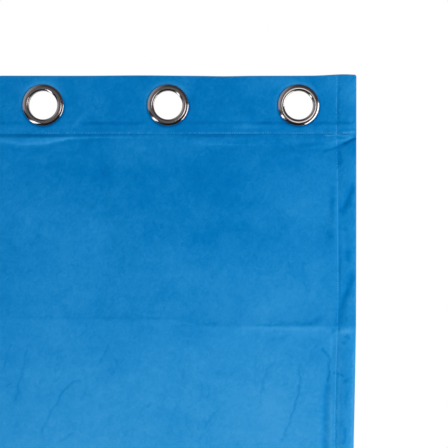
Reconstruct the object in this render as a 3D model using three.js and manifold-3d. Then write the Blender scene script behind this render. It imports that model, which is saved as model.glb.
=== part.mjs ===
// Eyelet curtain panel in cotton velvet, hanging straight down with its front towards -Y.
// Millimetres, +Z up, +X to the right. The origin is the middle of the top edge.
//
// The cloth is turned over at the top into a stiffened heading, which the chrome eyelets pierce.
// It has a narrow hem down each side and a deep hem at the foot, and it still shows the creases
// of its packing. A place on the cloth is given by two distances along it: "across", from its
// middle line, and "down", from its top edge.
import * as THREE from 'three';
import { mergeVertices } from 'three/addons/utils/BufferGeometryUtils.js';
import Module from 'manifold-3d';

// Sizes of the cloth
const WIDTH = 1400;
const LENGTH = 2750;
const LAYER = 1.2;
const GAP = 0.3;
const HEADING_DEPTH = 82.5;
const HEADING_LAYERS = 3;
const TURN_UNDER = 10.5;
const SIDE_HEM = 27;
const FOOT_HEM = 100;
const HEM_LAYERS = 3;
const HEM_STEP = 3;
const HALF_WIDTH = WIDTH / 2;
const FRONT_FACE = -HEADING_LAYERS * LAYER / 2;
const HEADING_BACK = HEADING_LAYERS * LAYER / 2;

// Sizes of the eyelets: a front part with a barrel, and a ring that closes on it from behind
const EYELET_DOWN = 41.8;
const BORE_RADIUS = 20;
const BARREL_RADIUS = 22;
const CREST_RADIUS = 23.8;
const RIM_RADIUS = 29.2;
const HOLE_RADIUS = 22.5;
const FRONT_RISE = 4.2;
const BACK_RISE = 2.4;
const RIM_RISE = 0.6;
const EYELET_SEGMENTS = 24;
const CURVE_STEPS = 2;
const FLAT_ROUND_EYELET = 6;
const PUNCH_DEPTH = 40;
const EYELETS_ACROSS = [-619.2, -443.0, -267.0, -90.8, 85.6, 261.5, 436.3, 619.0];

// Steps of the cloth's mesh, and its rows among the puckers close under the heading
const ROW_STEP = 130;
const COLUMN_STEP = 75;
const HEADING_ROW_STEP = 32;
const HEADING_COLUMN_STEP = 30;
const CLOSEST_STATIONS = 0.7;
const SEAM_PUCKER_ROWS = [86, 91, 98, 106, 126];

// Pressed creases across the cloth. depth is how far one sits behind the flat cloth (or, below
// zero, in front of it), spread is its half width, and left and right are how far its line has
// slipped down by each side edge.
const CREASES_ACROSS = [
  { down: 341, depth: -2.8, spread: 24, left: 5, right: 9.5 },
  { down: 688, depth: 2.2, spread: 30, left: -3, right: 6 },
  { down: 1033, depth: -2.4, spread: 26, left: -6, right: -2 },
  { down: 1376, depth: 3.0, spread: 32, left: 2, right: 3 },
  { down: 1722, depth: -2.2, spread: 26, left: 6, right: -4 },
  { down: 2066, depth: 1.8, spread: 30, left: 3, right: -5 },
  { down: 2409, depth: -2.0, spread: 24, left: -4, right: 4 },
];

// Pressed creases down the cloth, fainter than those across it.
const CREASES_DOWN = [
  { across: -352, depth: 1.4, spread: 20 },
  { across: 2, depth: -2.0, spread: 26 },
  { across: 347, depth: 0.6, spread: 14 },
];

// Puckers: short soft ridges (depth below zero) and troughs. reach is half the length along the
// pucker, spread half its width, and turn the angle by which it falls towards the right.
const PUCKERS = [
  { across: 240, down: 88, depth: -2.6, reach: 80, spread: 7, turn: -4 },
  { across: 240, down: 106, depth: 1.2, reach: 85, spread: 12, turn: -4 },
  { across: 500, down: 91, depth: -1.6, reach: 34, spread: 6, turn: 12 },
  { across: -60, down: 92, depth: -1.8, reach: 60, spread: 8, turn: 2 },
  { across: -420, down: 93, depth: -2.2, reach: 70, spread: 8, turn: -2 },
  { across: 676, down: 98, depth: 1.8, reach: 26, spread: 6, turn: -23 },
  { across: -684, down: 100, depth: 1.4, reach: 22, spread: 6, turn: 20 },
  { across: 685, down: 178, depth: 1.4, reach: 24, spread: 8, turn: -76 },
  { across: 685, down: 310, depth: 2.2, reach: 36, spread: 8, turn: -74 },
  { across: 660, down: 460, depth: 1.8, reach: 90, spread: 10, turn: 90 },
  { across: -684, down: 402, depth: 1.8, reach: 40, spread: 8, turn: 78 },
  { across: -660, down: 840, depth: 1.5, reach: 90, spread: 10, turn: 90 },
  { across: 685, down: 1190, depth: 1.6, reach: 45, spread: 8, turn: -78 },
];

// Folds that the outline has kept: how far the top edge rises, how far a side edge is drawn in, and
// how far from each edge that reaches.
const TOP_EDGE_RISES = [
  { across: 430, rise: -0.55, spread: 330 },
  { across: 682, rise: 1.9, spread: 26 },
  { across: 515, rise: -0.6, spread: 26 },
  { across: 395, rise: 0.6, spread: 50 },
  { across: -180, rise: -0.7, spread: 60 },
  { across: -560, rise: 0.9, spread: 45 },
];
const SIDE_EDGE_DRAWS = [
  { side: 1, down: 620, draw: 5.0, spread: 200 },
  { side: 1, down: 1650, draw: 3.0, spread: 320 },
  { side: -1, down: 900, draw: 3.6, spread: 260 },
  { side: -1, down: 2050, draw: 2.4, spread: 240 },
];
const SIDE_EDGE_REACH = 50;
const TOP_EDGE_REACH = 12;

// Where, between the middle line and a side edge, the slip of the crease lines starts and ends
const SLIP_START = 0.62;
const SLIP_END = 0.71;

// The billow between creases, the share of the relief that the stiffened heading keeps, and the
// rounding of its top fold.
const BILLOW = 1.8;
const STIFF_SHARE = 0.2;
const TOP_FOLD = 2.4;
const TOP_FOLD_EDGE = 0.35;

const VELVET = new THREE.MeshStandardMaterial({ color: 0x1a82c4, roughness: 0.9, metalness: 0 });
const HEADING_VELVET = new THREE.MeshStandardMaterial({ color: 0x0d77ba, roughness: 0.9, metalness: 0 });
const CHROME = new THREE.MeshStandardMaterial({ color: 0xc9c6c4, roughness: 0.12, metalness: 1 });

const wasm = await Module();
wasm.setup();

// The section of a soft ridge: 1 at its middle, nearly 0 at twice its spread.
function bell(distance, spread) {
  return Math.exp(-((distance / spread) ** 2));
}

// The section of a pressed crease: a sharp 1 at its line, fading away on both sides.
function peak(distance, spread) {
  return Math.exp(-Math.abs(distance) / spread);
}

// A soft step from 0 at start to 1 at end.
function softStep(value, start, end) {
  return THREE.MathUtils.smoothstep(value, start, end);
}

// How far the crease lines have slipped down at this place, between one crease and the next.
function slip(across, down) {
  const side = across > 0 ? 'right' : 'left';
  const straight = [HEADING_DEPTH, LENGTH].map((line) => ({ down: line, left: 0, right: 0 }));
  const lines = [straight[0], ...CREASES_ACROSS, straight[1]];
  const next = Math.max(1, lines.findIndex((line) => line.down >= down));
  const above = lines[next - 1];
  const below = lines[next];
  const share = (down - above.down) / (below.down - above.down);
  const atEdge = THREE.MathUtils.lerp(above[side], below[side], THREE.MathUtils.clamp(share, 0, 1));
  return atEdge * softStep(Math.abs(across), SLIP_START * HALF_WIDTH, SLIP_END * HALF_WIDTH);
}

// How far a pucker pushes the cloth back at this place.
function puckerDepth(pucker, across, down) {
  const angle = THREE.MathUtils.degToRad(pucker.turn);
  const right = across - pucker.across;
  const below = down - pucker.down;
  const along = right * Math.cos(angle) + below * Math.sin(angle);
  const off = below * Math.cos(angle) - right * Math.sin(angle);
  return pucker.depth * bell(along, pucker.reach) * bell(off, pucker.spread);
}

// How far the cloth lies behind its flat plane: billows between the pressed creases, the creases
// and the puckers. The stiffened heading keeps little of it, and none where an eyelet clamps it.
function relief(across, down) {
  const panelWidth = WIDTH / (CREASES_DOWN.length + 1);
  const panelLength = LENGTH / (CREASES_ACROSS.length + 1);
  let depth = BILLOW * Math.sin(Math.PI * across / panelWidth) * Math.sin(Math.PI * down / panelLength);
  for (const crease of CREASES_ACROSS) {
    depth += crease.depth * peak(down - crease.down, crease.spread);
  }
  for (const crease of CREASES_DOWN) {
    depth += crease.depth * peak(across - crease.across, crease.spread);
  }
  for (const pucker of PUCKERS) {
    depth += puckerDepth(pucker, across, down);
  }
  const free = STIFF_SHARE + (1 - STIFF_SHARE) * softStep(down, HEADING_DEPTH, SEAM_PUCKER_ROWS.at(-1));
  return depth * free * clearOfEyelets(across, down);
}

// 0 where an eyelet clamps the cloth flat, 1 away from it.
function clearOfEyelets(across, down) {
  const nearest = Math.min(...EYELETS_ACROSS.map((x) => Math.hypot(across - x, down - EYELET_DOWN)));
  return softStep(nearest, RIM_RADIUS + FLAT_ROUND_EYELET, 2 * RIM_RADIUS);
}

// The point on the hanging cloth, with the uneven outline that its edges have kept.
function hang(across, down, behind) {
  let x = across;
  for (const edge of SIDE_EDGE_DRAWS) {
    const nearEdge = softStep(across * edge.side, HALF_WIDTH - SIDE_EDGE_REACH, HALF_WIDTH);
    x -= edge.side * edge.draw * bell(down - edge.down, edge.spread) * nearEdge;
  }
  let z = -down - slip(across, down);
  for (const wave of TOP_EDGE_RISES) {
    z += wave.rise * bell(across - wave.across, wave.spread) * (1 - softStep(down, 0, TOP_EDGE_REACH));
  }
  return new THREE.Vector3(x, behind + relief(across, down), z);
}

// The stations of a mesh from start to end: all the marks between them, and even steps between
// the marks, none longer than step.
function stations(start, end, marks, step) {
  const inside = marks.filter((mark) => mark > start && mark < end);
  const sorted = [start, ...inside, end].sort((a, b) => a - b);
  const result = [start];
  for (let i = 1; i < sorted.length; i += 1) {
    const span = sorted[i] - sorted[i - 1];
    const parts = Math.max(1, Math.ceil(span / step));
    for (let part = 1; part <= parts; part += 1) {
      result.push(sorted[i - 1] + span * part / parts);
    }
  }
  return result.filter((value, i) => i === 0 || value - result[i - 1] > CLOSEST_STATIONS);
}

// A closed sheet over a grid of stations: a front face, a back face and a wall round its edge.
// frontAt and backAt say how far behind the cloth's plane each face lies.
function sheetGeometry(columns, rows, frontAt, backAt) {
  const positions = [];
  for (const faceAt of [frontAt, backAt]) {
    for (const down of rows) {
      for (const across of columns) {
        positions.push(...hang(across, down, faceAt(across, down)).toArray());
      }
    }
  }
  const perRow = columns.length;
  const perFace = perRow * rows.length;
  const indices = [];
  const quad = (a, b, c, d) => indices.push(a, b, c, a, c, d);
  for (let row = 0; row < rows.length - 1; row += 1) {
    for (let column = 0; column < perRow - 1; column += 1) {
      const corner = row * perRow + column;
      quad(corner, corner + perRow, corner + perRow + 1, corner + 1);
      quad(perFace + corner, perFace + corner + 1, perFace + corner + perRow + 1, perFace + corner + perRow);
    }
  }
  const edge = edgeLoop(perRow, rows.length);
  edge.forEach((here, i) => {
    const next = edge[(i + 1) % edge.length];
    quad(here, next, perFace + next, perFace + here);
  });
  const geometry = new THREE.BufferGeometry();
  geometry.setAttribute('position', new THREE.Float32BufferAttribute(positions, 3));
  geometry.setIndex(indices);
  return geometry;
}

// The indices round the edge of one face, clockwise as seen from the front.
function edgeLoop(perRow, rowCount) {
  const last = (rowCount - 1) * perRow;
  const loop = [];
  for (let column = 0; column < perRow - 1; column += 1) {
    loop.push(column);
  }
  for (let row = 0; row < rowCount - 1; row += 1) {
    loop.push(row * perRow + perRow - 1);
  }
  for (let column = perRow - 1; column > 0; column -= 1) {
    loop.push(last + column);
  }
  for (let row = rowCount - 1; row > 0; row -= 1) {
    loop.push(row * perRow);
  }
  return loop;
}

// A manifold solid of a geometry, for cutting.
function toSolid(geometry) {
  const bare = geometry.clone();
  bare.deleteAttribute('normal');
  bare.deleteAttribute('uv');
  const merged = mergeVertices(bare, 1e-4);
  const vertProperties = new Float32Array(merged.attributes.position.array);
  const triVerts = new Uint32Array(merged.index.array);
  return new wasm.Manifold(new wasm.Mesh({ numProp: 3, vertProperties, triVerts }));
}

// The geometry of a manifold solid.
function toGeometry(solid) {
  const mesh = solid.getMesh();
  const geometry = new THREE.BufferGeometry();
  geometry.setAttribute('position', new THREE.BufferAttribute(mesh.vertProperties, 3));
  geometry.setIndex(new THREE.BufferAttribute(mesh.triVerts, 1));
  geometry.computeVertexNormals();
  return geometry;
}

function namedMesh(name, geometry, material) {
  const mesh = new THREE.Mesh(geometry, material);
  mesh.name = name;
  return mesh;
}

// The main cloth, below the heading, with its hems turned to the back.
function panelMesh() {
  const hemLine = HALF_WIDTH - SIDE_HEM;
  const footLine = LENGTH - FOOT_HEM;
  const hemPuckers = PUCKERS.filter((pucker) => Math.abs(pucker.across) > HALF_WIDTH - 2 * SIDE_HEM);
  const columnMarks = [-hemLine, -hemLine + HEM_STEP, hemLine - HEM_STEP, hemLine];
  columnMarks.push(...hemPuckers.map((pucker) => pucker.across));
  for (const crease of CREASES_DOWN) {
    columnMarks.push(crease.across - crease.spread, crease.across, crease.across + crease.spread);
  }
  const rowMarks = [...SEAM_PUCKER_ROWS, footLine, footLine + HEM_STEP];
  rowMarks.push(...hemPuckers.map((pucker) => pucker.down));
  for (const crease of CREASES_ACROSS) {
    rowMarks.push(crease.down - crease.spread, crease.down, crease.down + crease.spread);
  }
  const columns = stations(-HALF_WIDTH, HALF_WIDTH, columnMarks, COLUMN_STEP);
  const rows = stations(HEADING_DEPTH + GAP, LENGTH, rowMarks, ROW_STEP);
  const backAt = (across, down) => {
    const sideHem = THREE.MathUtils.clamp((Math.abs(across) - hemLine) / HEM_STEP + 1, 0, 1);
    const footHem = THREE.MathUtils.clamp((down - footLine) / HEM_STEP, 0, 1);
    return FRONT_FACE + LAYER + (HEM_LAYERS - 1) * LAYER * Math.max(sideHem, footHem);
  };
  return namedMesh('panel', sheetGeometry(columns, rows, () => FRONT_FACE, backAt), VELVET);
}

// The heading: the cloth turned over its stiffening and pressed flat, so it is one thick strip
// with a rounded top fold. Its back layer is turned under along the foot, where it is sewn down.
function headingMesh() {
  const turnLine = HEADING_DEPTH - TURN_UNDER;
  const rowMarks = [TOP_FOLD / 3, TOP_FOLD, TOP_EDGE_REACH, turnLine, turnLine + 1];
  const columns = stations(-HALF_WIDTH, HALF_WIDTH, EYELETS_ACROSS, HEADING_COLUMN_STEP);
  const rows = stations(0, HEADING_DEPTH, rowMarks, HEADING_ROW_STEP);
  const fold = (down) => {
    const short = 1 - Math.min(down / TOP_FOLD, 1);
    return Math.max(TOP_FOLD_EDGE, Math.sqrt(1 - short * short));
  };
  const backAt = (across, down) => {
    const turned = THREE.MathUtils.clamp(down - turnLine, 0, 1) * LAYER;
    return HEADING_BACK * fold(down) + turned;
  };
  const frontAt = (across, down) => FRONT_FACE * fold(down);
  let solid = toSolid(sheetGeometry(columns, rows, frontAt, backAt));
  for (const across of EYELETS_ACROSS) {
    const punch = new THREE.CylinderGeometry(HOLE_RADIUS, HOLE_RADIUS, PUNCH_DEPTH, EYELET_SEGMENTS);
    punch.translate(across, 0, -EYELET_DOWN);
    solid = solid.subtract(toSolid(punch));
  }
  return namedMesh('heading', toGeometry(solid), HEADING_VELVET);
}

// The front part of an eyelet: a domed flange that rests on the cloth, and a barrel through it.
function eyeletFrontGeometry() {
  const seat = FRONT_FACE - GAP;
  const crest = seat - FRONT_RISE;
  const tail = HEADING_BACK + GAP + BACK_RISE / 2;
  const outline = new THREE.Path();
  outline.moveTo(BORE_RADIUS, tail);
  outline.lineTo(BORE_RADIUS, seat);
  outline.quadraticCurveTo(BORE_RADIUS, crest, CREST_RADIUS, crest);
  outline.quadraticCurveTo(RIM_RADIUS - 1, crest, RIM_RADIUS, seat - RIM_RISE);
  outline.lineTo(RIM_RADIUS, seat);
  outline.lineTo(BARREL_RADIUS, seat);
  outline.lineTo(BARREL_RADIUS, tail);
  outline.closePath();
  return new THREE.LatheGeometry(outline.getPoints(CURVE_STEPS), EYELET_SEGMENTS);
}

// The closing ring behind the cloth, lower than the front flange, round the end of the barrel.
function eyeletBackGeometry() {
  const seat = HEADING_BACK + GAP;
  const crest = seat + BACK_RISE;
  const outline = new THREE.Path();
  outline.moveTo(BARREL_RADIUS + GAP, seat);
  outline.lineTo(RIM_RADIUS, seat);
  outline.lineTo(RIM_RADIUS, seat + RIM_RISE);
  outline.quadraticCurveTo(RIM_RADIUS - 1, crest, CREST_RADIUS + 1, crest);
  outline.lineTo(BARREL_RADIUS + GAP, crest - RIM_RISE);
  outline.closePath();
  return new THREE.LatheGeometry(outline.getPoints(CURVE_STEPS), EYELET_SEGMENTS);
}

const curtain = new THREE.Group();
curtain.add(headingMesh(), panelMesh());
EYELETS_ACROSS.forEach((across, i) => {
  const front = namedMesh(`eyelet_front_${i + 1}`, eyeletFrontGeometry(), CHROME);
  const back = namedMesh(`eyelet_back_${i + 1}`, eyeletBackGeometry(), CHROME);
  front.position.set(across, 0, -EYELET_DOWN);
  back.position.set(across, 0, -EYELET_DOWN);
  curtain.add(front, back);
});

export default curtain;
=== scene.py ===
"""Eyelet curtain panel in blue cotton velvet: the visual model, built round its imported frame."""
import random
from collections import namedtuple
from math import cos, exp, hypot, pi, radians, sin

import bmesh
import bpy
from mathutils import Matrix, Vector


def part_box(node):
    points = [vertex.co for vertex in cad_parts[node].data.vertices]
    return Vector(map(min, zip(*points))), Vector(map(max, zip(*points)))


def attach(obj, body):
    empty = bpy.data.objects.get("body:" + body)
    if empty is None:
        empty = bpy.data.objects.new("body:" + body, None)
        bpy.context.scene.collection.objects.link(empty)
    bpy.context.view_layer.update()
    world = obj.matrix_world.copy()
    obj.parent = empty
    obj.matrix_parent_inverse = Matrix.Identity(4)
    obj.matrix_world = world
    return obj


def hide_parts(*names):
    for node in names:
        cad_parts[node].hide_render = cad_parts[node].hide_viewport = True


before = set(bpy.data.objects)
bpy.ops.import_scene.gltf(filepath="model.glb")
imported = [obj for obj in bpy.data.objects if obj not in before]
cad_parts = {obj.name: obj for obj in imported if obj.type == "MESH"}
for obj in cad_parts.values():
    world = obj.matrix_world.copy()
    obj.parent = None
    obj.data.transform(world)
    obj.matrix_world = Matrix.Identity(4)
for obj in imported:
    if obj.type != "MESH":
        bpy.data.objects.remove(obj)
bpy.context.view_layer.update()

# ------------------------------------------------------------
# The velvet. The whole curtain is one length of short-pile cotton velvet, with the pile to the
# front: a soft blue with painted light and shade on it, woven on a plain and greyer ground.
# ------------------------------------------------------------


def set_inputs(tree, node, inputs):
    """Give each of the named inputs of a node its value, or its link from another node."""
    for key, value in inputs.items():
        if isinstance(value, bpy.types.NodeSocket):
            tree.links.new(value, node.inputs[key])
        else:
            node.inputs[key].default_value = value


def add_node(tree, kind, inputs=None, **settings):
    """One shader node with its settings and its inputs."""
    node = tree.nodes.new(kind)
    for name, value in settings.items():
        setattr(node, name, value)
    set_inputs(tree, node, inputs or {})
    return node


def maths(tree, operation, first, second):
    """The output of one Math node."""
    return add_node(tree, "ShaderNodeMath", {0: first, 1: second}, operation=operation).outputs[0]


def summed(tree, first, *others):
    """The sum of the values."""
    for other in others:
        first = maths(tree, "ADD", first, other)
    return first


def mapped(tree, value, given, wanted=(0.0, 1.0), way="LINEAR"):
    """A value moved from the given range to the wanted one, each a (start, end) pair."""
    inputs = {"Value": value, "From Min": given[0], "From Max": given[1]}
    inputs.update({"To Min": wanted[0], "To Max": wanted[1]})
    return add_node(tree, "ShaderNodeMapRange", inputs, interpolation_type=way).outputs[0]


def mixed(tree, share, first, second):
    """The colour that lies this share of the way from the first to the second."""
    inputs = {0: share, 6: first, 7: second}
    return add_node(tree, "ShaderNodeMix", inputs, data_type="RGBA").outputs[2]


def bumped(tree, height, strength=1.0, distance=1.0):
    """The normal of a surface that has this height."""
    inputs = {"Strength": strength, "Distance": distance, "Height": height}
    return add_node(tree, "ShaderNodeBump", inputs).outputs[0]


def noise(tree, vector, scale, detail, roughness=0.5, distortion=0.0):
    """Noise of this scale, in cycles to the metre."""
    inputs = {"Vector": vector, "Scale": scale, "Detail": detail}
    inputs.update({"Roughness": roughness, "Distortion": distortion})
    return add_node(tree, "ShaderNodeTexNoise", inputs).outputs[0]


def stretched_noise(tree, vector, scales, detail, roughness=0.5, distortion=0.0):
    """Noise over the flat cloth, with its own scales across and down."""
    place = add_node(tree, "ShaderNodeMapping", {"Vector": vector, "Scale": (*scales, 1)})
    return noise(tree, place.outputs[0], 1.0, detail, roughness, distortion)


def nap_group():
    """How the pile lies: patches that look lighter or darker, small crushed marks, fine grain."""
    group = bpy.data.node_groups.new("nap", "ShaderNodeTree")
    sockets = group.interface
    sockets.new_socket("Vector", in_out="INPUT", socket_type="NodeSocketVector")
    for name in ("Patches", "Marks"):
        sockets.new_socket(name, in_out="INPUT", socket_type="NodeSocketFloat").default_value = 0.5
    for name in ("Shade", "Height"):
        sockets.new_socket(name, in_out="OUTPUT", socket_type="NodeSocketFloat")
    given = group.nodes.new("NodeGroupInput").outputs
    vector = given["Vector"]

    broad = stretched_noise(group, vector, (5, 6), detail=2)
    patches = stretched_noise(group, vector, (26, 30), detail=5, roughness=0.62, distortion=0.4)
    slant = (0, 0, radians(24))
    slanted = add_node(group, "ShaderNodeMapping", {"Vector": vector, "Rotation": slant}).outputs[0]
    crushed = stretched_noise(group, slanted, (150, 110), detail=4, roughness=0.65, distortion=1.2)
    grain = stretched_noise(group, vector, (1300, 1300), detail=2)

    def weighed(value, middle, weight):
        """How far a value lies from its middle, times its weight."""
        return maths(group, "MULTIPLY", maths(group, "SUBTRACT", value, middle), weight)

    tone = summed(group, maths(group, "MULTIPLY", patches, 0.75), maths(group, "MULTIPLY", broad, 0.35))
    tone = weighed(tone, 0.55, given["Patches"])
    marks = weighed(crushed, 0.5, given["Marks"])
    speck = weighed(grain, 0.5, 0.1)
    swell = maths(group, "MULTIPLY", patches, 0.0006)
    pile = maths(group, "MULTIPLY", grain, 0.00012)
    folds = maths(group, "MULTIPLY", marks, 0.0004)
    result = group.nodes.new("NodeGroupOutput")
    set_inputs(group, result, {
        "Shade": summed(group, tone, marks, speck),
        "Height": summed(group, swell, pile, folds),
    })
    return group


nap = nap_group()


def lie_of_nap(tree, patches, marks):
    """The place on the flat cloth, and the nap's shade and height there."""
    flat = add_node(tree, "ShaderNodeUVMap", uv_map="cloth").outputs[0]
    inputs = {"Vector": flat, "Patches": patches, "Marks": marks}
    return flat, add_node(tree, "ShaderNodeGroup", inputs, node_tree=nap).outputs


def new_material(name):
    """A material, its node tree and its shader."""
    material = bpy.data.materials.new(name)
    material.use_nodes = True
    return material, material.node_tree, material.node_tree.nodes["Principled BSDF"]


def velvet_material():
    """The pile side. It pales towards the drop, a painted light from below, and takes the painted light and
    shade and the patch tone that the folds, presses and patches set on the cloth."""
    material, tree, cloth = new_material("blue velvet")
    flat, lie = lie_of_nap(tree, patches=0.62, marks=0.52)
    along = add_node(tree, "ShaderNodeSeparateXYZ", {"Vector": flat}).outputs["Y"]
    # Painted light: the blue is darker near the top and paler towards the drop, as if lit from below.
    painted_light_towards_drop = mapped(tree, along, given=(-0.06, -0.62), wanted=(0.26, 0.9), way="SMOOTHSTEP")
    shade_and_tone_attribute = add_node(tree, "ShaderNodeAttribute", attribute_name="painted_shade_and_tone").outputs["Fac"]
    shade = mapped(tree, summed(tree, painted_light_towards_drop, shade_and_tone_attribute, lie["Shade"]), given=(-0.5, 1.0))
    # The blues from darkest to palest, each at its shade: painted shade at the dark end and painted light at
    # the pale end, over the nap's own tone.
    ramp = add_node(tree, "ShaderNodeValToRGB", {"Fac": shade})
    blues = [
        (0.0, (0.0006, 0.070, 0.230)), (0.333, (0.0008, 0.138, 0.424)),
        (0.5, (0.0015, 0.181, 0.498)), (0.68, (0.0105, 0.232, 0.576)),
        (0.853, (0.0252, 0.279, 0.622)), (1.0, (0.0450, 0.317, 0.662)),
    ]
    for place, _ in blues[1:-1]:
        ramp.color_ramp.elements.new(place)
    for element, (place, blue) in zip(ramp.color_ramp.elements, blues):
        element.position = place
        element.color = (*blue, 1)
    set_inputs(tree, cloth, {
        "Base Color": ramp.outputs[0], "Roughness": 0.9, "Specular IOR Level": 0.0,
        "Sheen Weight": 0.1, "Sheen Roughness": 0.4, "Sheen Tint": (0.1, 0.7, 1.0, 1),
        "Normal": bumped(tree, lie["Height"]),
    })
    return material


def wrong_side_material():
    """The cloth's back: the plain weave that holds the pile, flatter and a little greyer."""
    material, tree, cloth = new_material("velvet ground weave")
    flat, lie = lie_of_nap(tree, patches=0.8, marks=0.5)
    shade = mapped(tree, lie["Shade"], given=(-0.5, 0.5))
    threads = []
    for direction in ("X", "Y"):
        wave = add_node(tree, "ShaderNodeTexWave", {"Vector": flat, "Scale": 320.0},
                        wave_type="BANDS", bands_direction=direction)
        threads.append(wave.outputs["Fac"])
    weave = maths(tree, "MULTIPLY", maths(tree, "MAXIMUM", *threads), 0.00015)
    set_inputs(tree, cloth, {
        "Base Color": mixed(tree, shade, (0.010, 0.150, 0.380, 1), (0.035, 0.230, 0.480, 1)),
        "Roughness": 0.9, "Specular IOR Level": 0.1,
        "Normal": bumped(tree, summed(tree, weave, lie["Height"])),
    })
    return material


velvet = velvet_material()
wrong_side = wrong_side_material()

# ------------------------------------------------------------
# How the cloth hangs. It hangs flat and keeps the creases of its packing, the puckers of its
# seams and a slightly wavy outline. A place on it is (across, down) in millimetres: across from
# its middle line, down from its top edge.
# ------------------------------------------------------------
MM = 0.001  # a millimetre in the frame's metres
panel_low, panel_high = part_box("panel")
half_width = round(panel_high.x / MM)
length = round(-panel_low.z / MM)
cloth_thick = 1.0
heading_depth = 82.5
hem_depth = 27
foot_depth = 100
front_face = -1.8

# The middles of the eyelets as (across, down), and the radius of their rims.
eyelets = []
for name in sorted(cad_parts):
    if name.startswith("eyelet_front"):
        low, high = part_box(name)
        middle = (low + high) / 2
        eyelets.append((middle.x / MM, -middle.z / MM))
rim_radius = (high.x - low.x) / 2 / MM

# Creases of the packing: troughs where depth is above zero and ridges below it. left and right
# are how far one's line slips down by that side edge.
Crease = namedtuple("Crease", "down depth spread left right")
creases_across = [
    Crease(341, -2.8, 18, 5, 9.5),
    Crease(688, 2.2, 24, -3, 6),
    Crease(1033, -2.4, 22, -6, -2),
    Crease(1376, 3.0, 28, 2, 3),
    Crease(1722, -2.2, 22, 6, -4),
    Crease(2066, 1.8, 26, 3, -5),
    Crease(2409, -2.0, 20, -4, 4),
]
UprightCrease = namedtuple("UprightCrease", "across depth spread")
creases_down = [
    UprightCrease(-352, 1.4, 18),
    UprightCrease(2, -2.0, 24),
    UprightCrease(347, 0.5, 10),
]
slip_lines = [Crease(heading_depth, 0, 0, 0, 0), *creases_across, Crease(length, 0, 0, 0, 0)]

# Slack: below the heading the cloth is eased into the seam and puffs out in long shallow swags.
# reach is how far down one hangs and puff how far it stands out, at these places across.
Slack = namedtuple("Slack", "across reach puff")
slacks = [
    Slack(-700, 8, 0.4), Slack(-640, 16, 1.9), Slack(-565, 10, 0.8), Slack(-480, 17, 2.3),
    Slack(-400, 12, 1.4), Slack(-330, 6, 0.5), Slack(-250, 9, 0.8), Slack(-180, 14, 1.7),
    Slack(-120, 9, 0.6), Slack(-60, 16, 2.0), Slack(0, 12, 1.2), Slack(60, 7, 0.5),
    Slack(130, 14, 1.5), Slack(201, 11, 1.3), Slack(236, 15, 2.3), Slack(264, 13.5, 2.5),
    Slack(285, 9, 2.0), Slack(302, 6, 1.2), Slack(341, 5, 0.6), Slack(404, 5, 0.25),
    Slack(440, 7, 0.2), Slack(468, 12, 0.7), Slack(493, 15.5, 1.6), Slack(520, 14, 1.0),
    Slack(548, 13, 0.45), Slack(600, 12, 0.35), Slack(638, 12, 0.5), Slack(664, 12.5, 0.7),
    Slack(700, 8, 0.4),
]

# Puckers: short folds, troughs where depth is above zero and ridges below it. turn is the angle
# by which one falls to the right, and a sharp one has a pressed line instead of a round one.
Pucker = namedtuple("Pucker", "across down depth reach spread turn sharp")
puckers = [
    Pucker(545, 95.5, -0.35, 34, 1.8, 1, False),
    Pucker(640, 98, -0.6, 18, 3.0, -4, False),
    Pucker(612, 108, -0.5, 24, 5.0, 0, False),
    Pucker(684, 85.2, -0.5, 16, 1.5, 1, False),
    Pucker(691, 91.0, 0.9, 13, 5.0, -26, True),
    Pucker(672, 100, 0.8, 13, 5.0, -24, True),
    Pucker(655, 106, 0.4, 12, 5.0, -18, True),
    Pucker(668, 200, -0.8, 45, 5.0, 90, False),
    Pucker(687, 170, 0.8, 15, 4.0, -66, False),
    Pucker(684.5, 228, 0.5, 24, 4.0, 86, False),
    Pucker(684, 298, 1.2, 26, 5.0, -72, False),
    Pucker(684, 347, -0.8, 12, 3.5, -3, False),
    Pucker(666, 378, 0.6, 16, 3.2, 92, False),
    Pucker(657, 480, 1.0, 70, 6.0, 91, False),
    Pucker(-684, 100, 1.2, 22, 5, 20, True),
    Pucker(-684, 402, 1.5, 40, 6, 78, True),
    Pucker(-660, 840, 1.2, 90, 8, 90, False),
    Pucker(685, 1190, 1.4, 45, 7, -78, True),
    Pucker(-686, 1540, 1.2, 34, 6, 72, True),
    Pucker(660, 1820, 1.2, 110, 8, 90, False),
    Pucker(686, 2230, 1.3, 38, 6, -74, True),
    Pucker(-684, 2390, 1.4, 30, 6, 76, True),
]
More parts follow.
